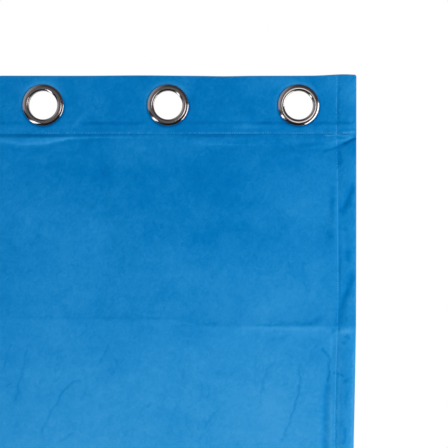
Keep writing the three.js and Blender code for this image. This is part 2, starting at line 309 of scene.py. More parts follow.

# Presses: small sharp folds, drawn through their places on the hanging cloth. Along each the cloth
# has painted shade, darker by its shade, or a painted highlight where it is below zero, and a shallow fold.
Press = namedtuple("Press", "width shade places")
presses = [
    Press(2.0, 0.38, ((704, 85.5), (674, 99.5), (650, 108))),
    Press(2.2, 0.85, ((709, 83.5), (690, 92), (680, 96.5))),
    Press(1.2, 0.25, ((672, 87.4), (689, 87))),
    Press(1.3, -0.55, ((652, 83.7), (700, 83.7))),
    Press(2.2, -0.16, ((655, 96.5), (680, 90), (700, 85))),
    Press(1.4, -0.4, ((679, 79.4), (698, 79.4))),
    Press(1.6, 0.2, ((676, 10), (675.5, 64))),
    Press(1.6, 0.25, ((674.5, 105), (674.5, 131))),
    Press(1.6, 0.28, ((678, 105), (678, 129))),
    Press(4.8, 0.32, ((700, 147), (690, 164), (686, 180), (680, 190), (673, 186))),
    Press(4.2, 0.18, ((665, 149), (667, 200))),
    Press(3.4, 0.16, ((671, 213), (690, 215))),
    Press(5.5, 0.12, ((657, 212), (666, 228))),
    Press(2.6, 0.2, ((675, 235), (676, 318))),
    Press(4.4, 0.22, ((688, 243), (687, 262))),
    Press(6.8, 0.36, ((696, 266), (688, 292), (680, 313), (676, 336), (675.5, 362))),
    Press(4.0, 0.2, ((677, 346), (688, 338))),
    Press(3.4, -0.3, ((676, 358), (684, 355), (695, 355))),
    Press(3.2, 0.28, ((683, 363), (691, 368))),
    Press(2.4, 0.22, ((680, 375), (687, 371))),
    Press(2.4, 0.28, ((649, 381), (656, 386), (663, 397), (663, 416), (659, 440))),
    Press(5.6, 0.36, ((661, 428), (656, 455), (655, 560))),
    Press(1.9, 0.3, ((665, 414), (685, 421))),
    Press(4.0, 0.32, ((684, 425), (690, 428))),
    Press(2.6, 0.14, ((679, 430), (680, 545))),
    Press(2.8, 0.28, ((688, 490), (686, 518))),
    Press(2.0, -0.18, ((666, 362), (666, 425))),
    Press(2.4, -0.35, ((697.5, 365), (697.5, 560))),
    Press(1.8, 0.2, ((674.5, 395), (675, 560))),
    Press(2.4, 0.16, ((681, 440), (682, 500))),
    Press(2.6, 0.2, ((688, 436), (687, 470))),
    Press(2.0, -0.14, ((678, 372), (678, 548))),
    Press(2.2, -0.14, ((666.5, 432), (666.5, 548))),
    Press(1.6, -0.3, ((698.4, 100), (698.4, 345))),
    Press(2.2, 0.22, ((308, 67.3), (409, 67.4))),
    Press(2.2, 0.12, ((196, 66.8), (241, 67.2))),
    Press(2.2, 0.12, ((440, 66.4), (545, 66.4))),
    Press(2.2, 0.24, ((546, 66.8), (668, 66.8))),
    Press(2.2, 0.16, ((655, 66.8), (697, 66.8))),
    Press(3.4, -0.14, ((326, 48), (312, 62), (301, 76))),
    Press(3.6, -0.12, ((199, 75), (250, 76))),
    Press(3.6, -0.14, ((524, 74), (545, 71), (566, 72))),
    Press(3.2, -0.10, ((626, 77), (656, 77))),
    Press(4.2, 0.2, ((580, 347.2), (638, 347.4), (653, 337))),
    Press(1.6, 0.2, ((556, 349.4), (645, 349.4))),
    Press(1.6, 0.14, ((443, 349.3), (475, 349.3))),
    Press(1.5, 0.14, ((485, 347.5), (506, 347.5))),
    Press(3.6, -0.12, ((565, 353.5), (650, 354), (664, 358))),
    Press(2.5, 0.22, ((663, 350), (669, 360))),
    Press(2.2, 0.06, ((190, 338.4), (340, 338.8), (460, 340))),
    Press(2.0, 0.12, ((566, 376), (607, 362))),
    Press(1.5, 0.12, ((217, 374), (203, 421))),
    Press(1.5, 0.2, ((240, 372), (234, 409), (227, 433), (222, 465))),
    Press(1.5, 0.12, ((198, 436), (220, 431))),
    Press(1.5, 0.25, ((319, 425), (302, 430), (293, 437), (276, 465), (264, 489), (256, 514))),
    Press(1.7, 0.22, ((305, 498), (292, 508), (277, 516))),
    Press(1.5, 0.2, ((354, 373), (346, 391), (340, 405))),
    Press(1.5, 0.15, ((324, 433), (314, 457))),
    Press(1.5, 0.12, ((360, 395), (371, 412))),
    Press(1.5, 0.12, ((273, 387), (263, 400))),
    Press(2.2, 0.25, ((413, 456), (406, 465))),
    Press(1.5, 0.14, ((483, 427), (483, 445), (487, 451))),
    Press(1.5, 0.14, ((491, 427), (493, 447), (490, 454))),
    Press(1.6, 0.21, ((508, 468), (495, 477), (487, 496))),
    Press(1.5, 0.12, ((482, 484), (476, 498))),
    Press(1.6, 0.17, ((590, 395), (575, 411), (567, 437), (563, 472))),
    Press(1.7, 0.33, ((618, 396), (621, 430), (617, 451), (607, 482), (589, 526))),
    Press(1.5, 0.1, ((459, 472), (464, 498))),
    Press(1.6, 0.12, ((555, 518), (582, 513))),
    Press(1.8, 0.1, ((344, 98), (343, 169))),
    Press(1.5, 0.12, ((261, 199), (249, 233))),
    Press(1.5, 0.12, ((623, 254), (630, 311))),
    Press(1.5, 0.1, ((599, 248), (608, 275))),
    Press(1.5, 0.1, ((451, 128), (439, 144))),
]

# The corner that is seen from close by has its presses listed one by one. Short slanted ones are
# strewn over the rest, and some very faint ones over that corner's lower part.
shown_left = 195
shown_down = 545
strewn_up_to = 130
faint_up_to = 170


def slanted_places(across, down, turn, reach, bow):
    """The upper end, the middle and the lower end of a press that leans by turn and bows out."""
    side, rise = reach * sin(radians(turn)), reach * cos(radians(turn))
    return (across + side, down - rise), (across + bow, down), (across - side, down + rise)


random.seed(11)
while len(presses) < strewn_up_to:
    across, down = random.uniform(-665, 660), random.uniform(110, length - 120)
    turn, reach, bow = random.gauss(18, 22), random.uniform(20, 55), random.uniform(-9, 9)
    if across < shown_left - 40 or down > shown_down + 60:
        width, shade = random.uniform(3.6, 5.4), random.uniform(0.12, 0.34)
        presses.append(Press(width, shade, slanted_places(across, down, turn, reach, bow)))
while len(presses) < faint_up_to:
    across, down = random.uniform(shown_left, 640), random.gauss(450, 50)
    turn, reach, bow = random.gauss(26, 14), random.uniform(8, 30), random.uniform(-4, 4)
    shade = random.uniform(0.04, 0.12)
    presses.append(Press(1.4, shade, slanted_places(across, down, turn, reach, bow)))

# Broad soft patches where the cloth is paler, or darker where the last column is below zero.
# wide and tall are how far one spreads.
Brush = namedtuple("Brush", "across down wide tall open")
tone_patches = [
    Brush(696, 22, 24, 26, 0.26), Brush(400, 105, 45, 22, 0.20), Brush(250, 190, 70, 35, 0.11),
    Brush(325, 222, 60, 36, 0.10), Brush(495, 150, 60, 30, -0.08), Brush(500, 215, 40, 45, -0.10),
    Brush(640, 178, 55, 45, 0.24), Brush(640, 278, 45, 35, 0.12), Brush(290, 285, 60, 40, 0.08),
    Brush(205, 325, 25, 32, -0.10), Brush(355, 335, 30, 30, -0.08), Brush(440, 352, 90, 18, -0.08),
    Brush(690, 130, 40, 25, 0.12), Brush(480, 268, 40, 25, 0.10), Brush(257, 12, 26, 16, 0.20),
    Brush(460, 12, 14, 14, 0.19), Brush(520, 22, 14, 20, -0.03), Brush(598, 10, 30, 12, 0.17),
    Brush(663, 10, 16, 16, 0.20), Brush(467, 97, 20, 14, 0.13), Brush(481, 181, 22, 16, 0.12),
    Brush(663, 223, 14, 26, -0.12), Brush(523, 349, 16, 12, -0.10), Brush(663, 349, 14, 12, -0.10),
    Brush(553, 14, 16, 16, 0.14), Brush(698, 70, 12, 14, 0.16), Brush(341, 135, 40, 25, -0.08),
    Brush(360, 405, 45, 25, -0.08), Brush(635, 415, 20, 24, 0.10), Brush(677, 461, 20, 16, 0.10),
    Brush(585, 318, 55, 22, 0.16), Brush(215, 440, 42, 75, -0.12), Brush(440, 500, 50, 40, -0.06),
    Brush(575, 460, 50, 90, 0.15), Brush(690, 450, 28, 90, -0.16), Brush(-300, 240, 90, 120, 0.12),
    Brush(-120, 620, 110, 90, -0.12), Brush(320, 760, 90, 130, 0.12), Brush(-480, 900, 120, 90, -0.10),
    Brush(120, 1240, 130, 110, 0.12), Brush(560, 1420, 90, 160, -0.12), Brush(-420, 1600, 130, 140, 0.14),
    Brush(60, 1960, 150, 100, -0.12), Brush(480, 2240, 120, 150, 0.12), Brush(-360, 2420, 140, 110, 0.10),
]

# The outline: the top edge rises and dips, and the side edges, -1 the left and 1 the right, are
# drawn in.
Wave = namedtuple("Wave", "across rise spread")
top_edge_waves = [
    Wave(430, -0.55, 330),
    Wave(682, 1.9, 26),
    Wave(515, -0.6, 26),
    Wave(395, 0.6, 50),
    Wave(-180, -0.7, 60),
    Wave(-560, 0.9, 45),
]
Draw = namedtuple("Draw", "side down draw spread")
side_edge_draws = [
    Draw(1, 620, 5.0, 200),
    Draw(1, 1650, 3.0, 320),
    Draw(-1, 900, 3.6, 260),
    Draw(-1, 2050, 2.4, 240),
]

# The side hems' stitch lines wander a little: sway is how far one lies to the right there.
Sway = namedtuple("Sway", "side down sway spread")
hem_sways = [
    Sway(1, 60, -1.4, 50), Sway(1, 290, 1.2, 75), Sway(1, 470, -1.8, 110), Sway(1, 1300, 1.2, 160),
    Sway(-1, 300, 1.2, 130), Sway(-1, 980, -1.4, 180), Sway(-1, 1900, 1.5, 150),
    Sway(1, 2200, -1.0, 140),
]


def bell(distance, spread):
    """The section of a soft ridge: 1 at its middle, nearly 0 at twice its spread."""
    return exp(-((distance / spread) ** 2))


def peak(distance, spread):
    """The section of a pressed crease: nearly sharp at its line, fading on both sides."""
    rounding = 1.2
    return exp(-(hypot(distance, rounding) - rounding) / spread)


def soft_step(value, start, end):
    """0 before start and 1 after end, with a smooth passage from one to the other."""
    share = min(max((value - start) / (end - start), 0.0), 1.0)
    return share * share * (3 - 2 * share)


def between(rows, value, key):
    """The rows on both sides of a value, and the share of the way from one to the other."""
    after = next((i for i, row in enumerate(rows) if i and key(row) >= value), len(rows) - 1)
    first, last = rows[after - 1], rows[after]
    share = (value - key(first)) / (key(last) - key(first))
    return first, last, min(max(share, 0.0), 1.0)


def slip(across, down):
    """How far the crease lines have slipped down by the sides, between one crease and the next."""
    upper, lower, share = between(slip_lines, down, lambda line: line.down)
    side = "right" if across > 0 else "left"
    by_side = soft_step(abs(across), 0.62 * half_width, 0.71 * half_width)
    return by_side * (getattr(upper, side) * (1 - share) + getattr(lower, side) * share)


def swag(across, down):
    """The puff of the slack cloth just below the heading, which ends in a crisp lower line."""
    first, last, share = between(slacks, across, lambda slack: slack.across)
    share = soft_step(share, 0, 1)
    reach = first.reach * (1 - share) + last.reach * share
    puff = first.puff * (1 - share) + last.puff * share
    level = max(0.0, (down - heading_depth) / reach)
    hanging = max(0.0, 1 - level ** 2.2) * soft_step(down - heading_depth, 0.3, 4.4)
    return puff * (0.2 * bell(level - 1.3, 0.35) - hanging)


def pucker_depth(pucker, across, down):
    """How far one pucker sets the cloth back at this place."""
    right, below = across - pucker.across, down - pucker.down
    reach = 2.6 * max(pucker.reach, pucker.spread)
    if abs(right) > reach or abs(below) > reach:
        return 0.0
    turn = radians(pucker.turn)
    along = right * cos(turn) + below * sin(turn)
    off = below * cos(turn) - right * sin(turn)
    section = peak if pucker.sharp else bell
    return pucker.depth * bell(along, pucker.reach) * section(off, pucker.spread)


def off_line(places, across, down):
    """How far a place lies from the line through the given places, and how far along it."""
    nearest, along = 1e6, 0.0
    for number, (start, end) in enumerate(zip(places, places[1:])):
        run_across, run_down = end[0] - start[0], end[1] - start[1]
        share = (across - start[0]) * run_across + (down - start[1]) * run_down
        share = min(max(share / (run_across ** 2 + run_down ** 2), 0.0), 1.0)
        gap = hypot(across - start[0] - share * run_across, down - start[1] - share * run_down)
        if gap < nearest:
            nearest, along = gap, (number + share) / (len(places) - 1)
    return nearest, along


# The presses by the band of the drop that they touch, so that few are looked at for each place.
press_reach = 14
band_margin = press_reach + 2
band_height = 20
pressed_bands = {}
for press in presses:
    levels = [place[1] for place in press.places]
    first_band = int((min(levels) - band_margin) // band_height)
    last_band = int((max(levels) + band_margin) // band_height)
    for band in range(first_band, last_band + 1):
        pressed_bands.setdefault(band, []).append(press)


def presses_near(across, down, reach):
    """The presses that pass within reach of a place, each with its distance and the share along."""
    found = []
    for press in pressed_bands.get(int(down // band_height), ()):
        sides = [place[0] for place in press.places]
        if min(sides) - reach < across < max(sides) + reach:
            gap, along = off_line(press.places, across, down)
            if gap < reach:
                found.append((press, gap, along))
    return found


def crease_shade_and_depth(across, down):
    """The painted shade of the press lines at this place on the hanging cloth, or a painted highlight
    below zero; relief also takes it as their shallow folds. They waver a little, fade out at both
    ends and are not equally deep all along."""
    wavered_across = across + 0.8 * sin(0.31 * down + 1.7 * sin(0.07 * across)) + 0.4 * sin(0.83 * down)
    wavered_down = down + 0.5 * sin(0.29 * across + 1.3 * sin(0.09 * down))
    dark, light = 0.0, 0.0
    for press, gap, along in presses_near(wavered_across, wavered_down, press_reach):
        ends = soft_step(along, 0, 0.16) * soft_step(1 - along, 0, 0.16)
        uneven = 0.93 + 0.12 * sin(0.13 * down + 0.09 * across)
        shade = press.shade * bell(gap, press.width) * ends * uneven
        dark, light = max(dark, shade), min(light, shade)
    return dark + light


def heading_section(across, down):
    """The heading's front above its seam: it stands out a little where its foot is turned under
    inside, and falls back into the seam."""
    turned_under = heading_depth - 18
    inside = soft_step(down, turned_under, turned_under + 3)
    inside *= 1 - soft_step(down, turned_under + 3.5, turned_under + 12.5)
    lip = bell(down - heading_depth + 5.3, 1.6)
    groove = soft_step(down, heading_depth - 3.9, heading_depth - 0.3)
    groove *= 1 - soft_step(down, heading_depth - 0.1, heading_depth + 2.1)
    groove *= 1 - 0.8 * soft_step(across, half_width - 55, half_width - 30)
    firm = 0.5 + 0.5 * soft_step(abs(across), half_width - 180, half_width - 100)
    tight = 0.11 + 0.09 * sin(0.061 * across) * sin(0.023 * across + 1)
    return tight * groove - firm * (0.40 * inside + 0.10 * lip)


def hem_section(across, down):
    """The side hem: a groove along its stitches and a soft round outer part, which is fuller below
    the first crease."""
    beside = abs(across) - (half_width - hem_depth)
    first_crease = creases_across[0].down
    full = 0.5 + 0.5 * soft_step(down, first_crease - 11, first_crease + 39)
    edge = 0.5 * soft_step(beside, 20, hem_depth)
    return 0.4 * peak(beside - 1.3, 1.0) + full * (edge - 0.9 * bell(beside - 14, 8))


def eyelet_arm(across, down):
    """The arm from the nearest eyelet's middle to a place: how far right, how far below, its length."""
    arms = ((across - x, down - y) for x, y in eyelets)
    right, below = min(arms, key=lambda arm: hypot(*arm))
    return right, below, hypot(right, below)


def relief(across, down):
    """How far the cloth's front lies behind its flat plane."""
    bow = 1.8
    press_depth = 0.5
    fold_width = 2 * half_width / (len(creases_down) + 1)
    fold_length = length / (len(creases_across) + 1)
    depth = bow * sin(pi * across / fold_width) * sin(pi * down / fold_length)
    crisp = 0.35 + 0.65 * soft_step(abs(across), 0.5 * half_width, 0.8 * half_width)
    for crease in creases_across:
        depth += crisp * crease.depth * peak(down - crease.down, crease.spread)
    for crease in creases_down:
        depth += crease.depth * peak(across - crease.across, crease.spread)
    stiff = 0.2 + 0.8 * soft_step(down, heading_depth, 1.5 * heading_depth)
    depth = depth * stiff + sum(pucker_depth(pucker, across, down) for pucker in puckers)
    depth += hem_section(across, down) + heading_section(across, down)
    if down > heading_depth:
        depth += swag(across, down)
    else:
        _, _, arm = eyelet_arm(across, down)
        depth *= soft_step(arm, rim_radius + 2, rim_radius + 14)
    depth += 0.6 * peak(down - (length - foot_depth), 2.2)
    return depth + press_depth * crease_shade_and_depth(across, down + slip(across, down))


def patch_tone(across, down):
    """How much paler the broad patches make the cloth at this place, or darker below zero."""
    paler_by = 0.0
    for patch in tone_patches:
        if abs(down - patch.down) < 2.4 * patch.tall:
            spread = bell(across - patch.across, patch.wide) * bell(down - patch.down, patch.tall)
            paler_by += patch.open * spread
    return paler_by


def flange_painted_shadow(across, down):
    """A painted shadow in a thin ring below each flange, and painted light above it, over the real
    shadow that the low lamp casts there.
    """
    right, below, arm = eyelet_arm(across, down)
    gap = max(arm - rim_radius, 0.0)
    low = (0.94 * below + 0.35 * right) / arm
    dark = 0.75 * soft_step(low, -0.3, 0.9) * bell(gap, 2.0)
    pale = 0.4 * (1 - soft_step(low, -0.6, 0.3)) * bell(gap, 4)
    return dark - pale


def painted_shade_and_tone_at(across, down):
    """Painted light and shade at this place, with the patch tone: paler where a fold tips the cloth down
    or to the right, towards the lamps, and a little darker where it tips away.
    """
    step = 0.8
    falls = relief(across, down + step) - relief(across, down - step)
    turns = relief(across + step, down) - relief(across - step, down)
    # The lamps are below and to the right: painted light where the cloth falls away that way, painted shade
    # where it rises.
    tip = (0.8 * falls + 0.3 * turns) / (2 * step)
    paler_by = (1.3 if tip > 0 else 0.25) * tip
    shade = crease_shade_and_depth(across, down + slip(across, down))
    if down < heading_depth:
        # A painted highlight along the rounded top edge.
        top_edge_painted_highlight = 0.5 * bell(down, 1.6)
        shade += flange_painted_shadow(across, down) - top_edge_painted_highlight
    return paler_by - shade + patch_tone(across, down)


def hung(across, down, behind):
    """The point of the hanging cloth at this place, so far behind its front face, in metres."""
    x = across
    for edge in side_edge_draws:
        near_edge = soft_step(across * edge.side, half_width - 60, half_width)
        x -= edge.side * edge.draw * bell(down - edge.down, edge.spread) * near_edge
    for line in hem_sways:
        near_line = bell(across * line.side - (half_width - hem_depth), 14)
        x += line.sway * bell(down - line.down, line.spread) * near_line
    z = -down - slip(across, down)
    near_top = 1 - soft_step(down, 0, 12)
    z += sum(wave.rise * bell(across - wave.across, wave.spread) for wave in top_edge_waves) * near_top
    return Vector((x, front_face + behind + relief(across, down), z)) * MM


# ------------------------------------------------------------
# The panel. The main length of cloth below the heading, cut a little wider and longer than it
# hangs. Its sides are turned back into narrow hems and its foot into a deep one.
# ------------------------------------------------------------
side_fold = 1.15
foot_fold = 2.3
side_cut = half_width + (pi - 1) * side_fold + hem_depth
foot_cut = length + (pi - 1) * foot_fold + foot_depth
fold_step = 1.3
open_step = 26


def turn_over(flat, edge, radius):
    """Where cloth lies that runs to an edge and turns back behind itself: its place, how far
    behind the front its outer face is, and the angle it has turned through."""
    past = flat - (edge - radius)
    if past <= 0:
        return flat, 0.0, 0.0
    angle = past / radius
    if angle < pi:
        return edge - radius + radius * sin(angle), radius * (1 - cos(angle)), angle
    return edge - radius - (past - pi * radius), 2 * radius, pi


def grid_lines(first, *stretches):
    """Where the grid lines of a cloth lie, from first on, evenly through each stretch: a pair of
    its end and its longest step."""
    lines = [first]
    for end, step in stretches:
        start = lines[-1]
        count = max(1, round(abs(end - start) / step + 0.49))
        lines += [start + (end - start) * i / count for i in range(1, count + 1)]
    return lines


def flat_cloth(half_columns, rows):
    """A flat sheet of cut cloth as a bmesh, x across and -y down. Its grid lines lie at the rows
    and at the columns on both sides of the middle."""
    columns = [-column for column in reversed(half_columns[1:])] + half_columns
    cloth = bmesh.new()
    bmesh.ops.create_grid(cloth, x_segments=len(columns) - 1, y_segments=len(rows) - 1, size=0.5)
    for vert in cloth.verts:
        column = round((vert.co.x + 0.5) * (len(columns) - 1))
        row = round((0.5 - vert.co.y) * (len(rows) - 1))
        vert.co = (columns[column], -rows[row], 0)
    return cloth


def refine(cloth, longest, cuts, inside):
    """Subdivide the edges that are longer than longest and whose middle is inside a region."""
    edges = []
    for edge in cloth.edges:
        middle = (edge.verts[0].co + edge.verts[1].co) / 2
        if edge.calc_length() > longest and inside(middle.x, -middle.y):
            edges.append(edge)
    bmesh.ops.subdivide_edges(cloth, edges=edges, cuts=cuts, use_grid_fill=True)


def as_piece(shape, name, materials):
    """The object made of a bmesh, smooth and with its materials."""
    for face in shape.faces:
        face.smooth = True
    mesh = bpy.data.meshes.new(name)
    shape.to_mesh(mesh)
    shape.free()
    for material in materials:
        mesh.materials.append(material)
    piece = bpy.data.objects.new(name, mesh)
    bpy.context.scene.collection.objects.link(piece)
    return piece


def hang_cloth(cloth, name, fold):
    """Fold and hang the flat cloth, with its flat-cloth UV map, its painted light and shade with the patch
    tone, and its thickness.
    """
    uv = cloth.loops.layers.uv.new("cloth")
    for face in cloth.faces:
        for loop in face.loops:
            loop[uv].uv = (loop.vert.co.x * MM, loop.vert.co.y * MM)
    painted_shade_and_tone = cloth.verts.layers.float.new("painted_shade_and_tone")
    for vert in cloth.verts:
        across, down, behind = fold(vert.co.x, -vert.co.y)
        vert[painted_shade_and_tone] = painted_shade_and_tone_at(across, down)
        vert.co = hung(across, down, behind)
    piece = as_piece(cloth, name, [velvet, wrong_side])
    wall = piece.modifiers.new("cloth thickness", "SOLIDIFY")
    wall.thickness = cloth_thick * MM
    wall.offset = -1
    wall.material_offset = 1
    return piece


def panel_fold(across_cut, down_cut):
    """Where a place of the cut panel lies once its hems are turned back: across, down, behind."""
    side, side_behind, _ = turn_over(abs(across_cut), half_width, side_fold)
    foot, foot_behind, angle = turn_over(down_cut, length, foot_fold)
    across = side if across_cut > 0 else -side
    return across, foot - side_behind * sin(angle), foot_behind + side_behind * cos(angle)


def shown(across, down):
    """Whether a place is in the corner that is seen from close by."""
    return across > shown_left and down < shown_down


def shown_hem(across, down):
    """Whether a place is in or beside that corner's side hem."""
    return across > half_width - 2 * hem_depth and shown(across, down)


def by_press(across, down, widths=1.8):
    """Whether a place lies so near a press, in its own widths, that the cloth needs a finer mesh."""
    margin = 0.6
    found = presses_near(across, down + slip(across, down), 12)
    return any(gap < widths * press.width + margin for press, gap, _ in found)


panel_columns = grid_lines(
    0, (half_width - 2 * hem_depth, open_step), (half_width - hem_depth - 2, 5),
    (half_width - hem_depth + 3, 1.0), (half_width - side_fold, 3), (side_cut - hem_depth, fold_step),
    (side_cut, 9),
)
row_stretches = [(heading_depth + 4, 1.0), (heading_depth + 24, 2.0), (heading_depth + 44, 5)]
for crease in creases_across:
    row_stretches += [(crease.down - 6, open_step), (crease.down + 6, 2.0)]
panel_rows = grid_lines(
    heading_depth, *row_stretches, (length - foot_depth - 3, open_step),
    (length - foot_depth + 3, 1.5), (length - foot_fold, open_step),
    (foot_cut - foot_depth, fold_step), (foot_cut, open_step),
)
panel_cloth = flat_cloth(panel_columns, panel_rows)
refine(panel_cloth, longest=9, cuts=4, inside=shown)
refine(panel_cloth, longest=2.9, cuts=1, inside=shown_hem)
refine(panel_cloth, longest=9, cuts=4, inside=by_press)
for longest, widths in ((2.7, 1.8), (1.9, 1.2)):
    refine(panel_cloth, longest, cuts=1,
           inside=lambda across, down: shown(across, down) and by_press(across, down, widths))
panel = hang_cloth(panel_cloth, "velvet_panel", panel_fold)
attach(panel, "root")
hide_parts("panel")

# ------------------------------------------------------------
# The heading. The cloth's top is turned over a stiffening strip and sewn down along its foot,
# so it is a flat double strip with a rounded top fold, punched for the eyelets.
# ------------------------------------------------------------
top_fold = 2.3
foot_press = 0.5
hole_radius = 22.4
turn_allowance = (pi - 2) * top_fold
back_cut = heading_depth + 2 + turn_allowance


def heading_fold(across_cut, down_cut):
    """Where a place of the cut heading lies once it is turned over: across, down, behind. Its side
    edges are rounded, and it is made thinner towards its foot."""
    place, behind, angle = turn_over(-down_cut, 0, top_fold)
    past = abs(across_cut) - (half_width - top_fold)
    inset = top_fold - (top_fold ** 2 - past ** 2) ** 0.5 if past > 0 else 0.0
    down = -place + inset * sin(angle)
    thinned = 1 - foot_press * soft_step(down, heading_depth - 14, heading_depth)
    return across_cut, down, (behind + inset * cos(angle)) * thinned


def punch(cloth, across, down):
    """Cut one round hole in the flat cloth, leaving its edge on a circle."""
    centre = Vector((across, -down, 0))
    inside = [face for face in cloth.faces if (face.calc_center_median() - centre).length < hole_radius]
    bmesh.ops.delete(cloth, geom=inside, context="FACES")
    for vert in cloth.verts:
        arm = vert.co - centre
        if vert.is_boundary and arm.length < 1.3 * hole_radius:
            vert.co = centre + arm.normalized() * hole_radius


def by_rim(across, down):
    """Whether a place of the heading's front is near the rim of an eyelet."""
    return down > 0 and -2 < eyelet_arm(across, down)[2] - rim_radius < 6


heading_columns = grid_lines(
    0, (half_width - hem_depth - 4, 4.4), (half_width - hem_depth + 2, 1.3), (half_width - 5, 4),
    (half_width, 0.9),
)
heading_rows = grid_lines(
    -back_cut, (-3 * top_fold, 5), (top_fold * 0.5, 1.2), (2 * top_fold, 1.5),
    (heading_depth - 20, 4), (heading_depth - 12, 1.2), (heading_depth - 6, 2.0), (heading_depth, 1.0),
)
heading_cloth = flat_cloth(heading_columns, heading_rows)
refine(heading_cloth, longest=1.7, cuts=2, inside=by_press)
refine(heading_cloth, longest=2.1, cuts=2, inside=by_rim)
# Each hole goes through the front and, past the turn at the top, through the back.
for across, down in eyelets:
    punch(heading_cloth, across, down)
    punch(heading_cloth, across, -down - turn_allowance)
heading = hang_cloth(heading_cloth, "velvet_heading", heading_fold)
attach(heading, "root")
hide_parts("heading")

# ------------------------------------------------------------
# The stitching. A lockstitch in light blue thread holds the foot of the heading, both side hems
# and the foot hem. Each stitch shows as a short bar of thread sunk a little into the pile.
# ------------------------------------------------------------
stitch_pitch = 3.3
stitch_length = 1.9
thread_thick = 0.6
random.seed(7)


def thread_material():
    """Light blue thread, mottled by its strands."""
    material, tree, shader = new_material("sewing thread")
    place = add_node(tree, "ShaderNodeTexCoord").outputs["Object"]
    strands = noise(tree, place, scale=900.0, detail=2.0)
    set_inputs(tree, shader, {
        "Base Color": mixed(tree, strands, (0.080, 0.380, 0.740, 1), (0.200, 0.520, 0.850, 1)),
        "Roughness": 0.6, "Specular IOR Level": 0.15,
    })
    return material


def one_stitch():
    """A short bar of thread along Z, thickest in its middle."""
    shape = bmesh.new()
    bmesh.ops.create_uvsphere(shape, u_segments=6, v_segments=4, radius=0.5)
    bmesh.ops.scale(shape, verts=shape.verts, vec=Vector((thread_thick, thread_thick, stitch_length)) * MM)
    mesh = bpy.data.meshes.new("one stitch")
    shape.to_mesh(mesh)
    shape.free()
    return mesh


def stitch_row(stitches, start, end, behind):
    """Stitches from start to end, both (across, down), on the face that lies so far behind. Some
    sink deeper into the pile than others."""
    first = Vector(start)
    run = Vector(end) - first
    for number in range(int(run.length / stitch_pitch)):
        middle = first + run.normalized() * (number + 0.5) * stitch_pitch
        reach = run.normalized() * stitch_length / 2
        depth = 0.11 + 0.1 * sin(0.071 * number) * sin(0.031 * number) + random.uniform(-0.12, 0.12)
        tips = [hung(*(middle + way * reach), behind + depth) for way in (-1, 1)]
        turn = (tips[1] - tips[0]).to_track_quat("Z", "Y").to_matrix().to_4x4()
        place = Matrix.Translation((tips[0] + tips[1]) / 2) @ turn
        stitch.transform(place)
        stitches.from_mesh(stitch)
        stitch.transform(place.inverted())


def stitched_piece(name, rows):
    """All the stitches of one seam, as one piece."""
    stitches = bmesh.new()
    for start, end, behind in rows:
        stitch_row(stitches, start, end, behind)
    piece = as_piece(stitches, name, [thread])
    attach(piece, "root")


thread = thread_material()
stitch = one_stitch()
on_front = 0.05
on_heading_front = 0.09
heading_back = 2 * top_fold * foot_press + 0.1
row_end = half_width - 4
hem_line = half_width - hem_depth
hem_back_line = hem_line + 1.5
foot_line = length - foot_depth
stitched_piece("heading_stitches", [
    ((-row_end, heading_depth - 1.8), (row_end, heading_depth - 1.8), on_heading_front),
    ((-row_end, heading_depth - 2), (row_end, heading_depth - 2), heading_back),
])
for side, name in ((-1, "left_hem_stitches"), (1, "right_hem_stitches")):
    stitched_piece(name, [
        ((side * hem_line, 4), (side * hem_line, length - 3), on_front),
        ((side * hem_back_line, heading_depth + 4), (side * hem_back_line, foot_line), 2 * side_fold),
    ])
stitched_piece("foot_hem_stitches", [
    ((-row_end, foot_line), (row_end, foot_line), on_front),
    ((-row_end, foot_line + 2), (row_end, foot_line + 2), 2 * foot_fold),
])

# ------------------------------------------------------------
# The eyelets. Each is pressed from plated sheet metal in two parts: a domed front flange with a
# barrel through the cloth, and a lower ring that snaps over the barrel from behind.
# ------------------------------------------------------------
bore_radius = 20.0
barrel_radius = 21.2
crest_radius = 23.7
inner_bend = 4.8
outer_bend = 6.8
flat_edge = 0.5
front_rise = 3.9
back_rise = 2.4
bore_edge = 0.3
rim_round = 0.15
eyelet_gap = 0.15
seat = front_face - eyelet_gap
back_seat = front_face + 2 * top_fold + eyelet_gap
back_crest = back_seat + back_rise
tail = back_crest - 0.4


def arc_points(start, corner, end, steps):
    """Points of a soft curve from start to end that leans on its corner."""
    points = []
    for step in range(1, steps + 1):
        t = step / steps
        points.append(tuple((1 - t) ** 2 * a + 2 * t * (1 - t) * b + t * t * c
                            for a, b, c in zip(start, corner, end)))
    return points


def dome_points(first, last, steps):
    """Points on the flange's round front between two radii, first to last."""
    points = []
    for step in range(steps + 1):
        radius = first + (last - first) * step / steps
        bend = inner_bend if radius < crest_radius else outer_bend
        fall = bend - (bend ** 2 - (radius - crest_radius) ** 2) ** 0.5
        points.append((radius, seat - front_rise + fall))
    return points


def spun_rings(name, outline, segments, replaced):
    """A ring at each eyelet, from a closed outline of (radius, behind) places turned about its axis."""
    for number, (across, down) in enumerate(eyelets, 1):
        ring = bmesh.new()
        verts = [ring.verts.new((radius * MM, behind * MM, 0)) for radius, behind in outline]
        edges = [ring.edges.new(ends) for ends in zip(verts, verts[1:] + verts[:1])]
        bmesh.ops.spin(ring, geom=verts + edges, cent=(0, 0, 0), axis=(0, 1, 0), angle=2 * pi,
                       steps=segments, use_merge=True)
        bmesh.ops.remove_doubles(ring, verts=ring.verts, dist=1e-6)
        bmesh.ops.recalc_face_normals(ring, faces=ring.faces)
        bmesh.ops.translate(ring, verts=ring.verts, vec=(across * MM, 0, -down * MM))
        piece = as_piece(ring, f"{name}_{number}", [plating])
        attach(piece, "root")
        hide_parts(f"{replaced}_{number}")


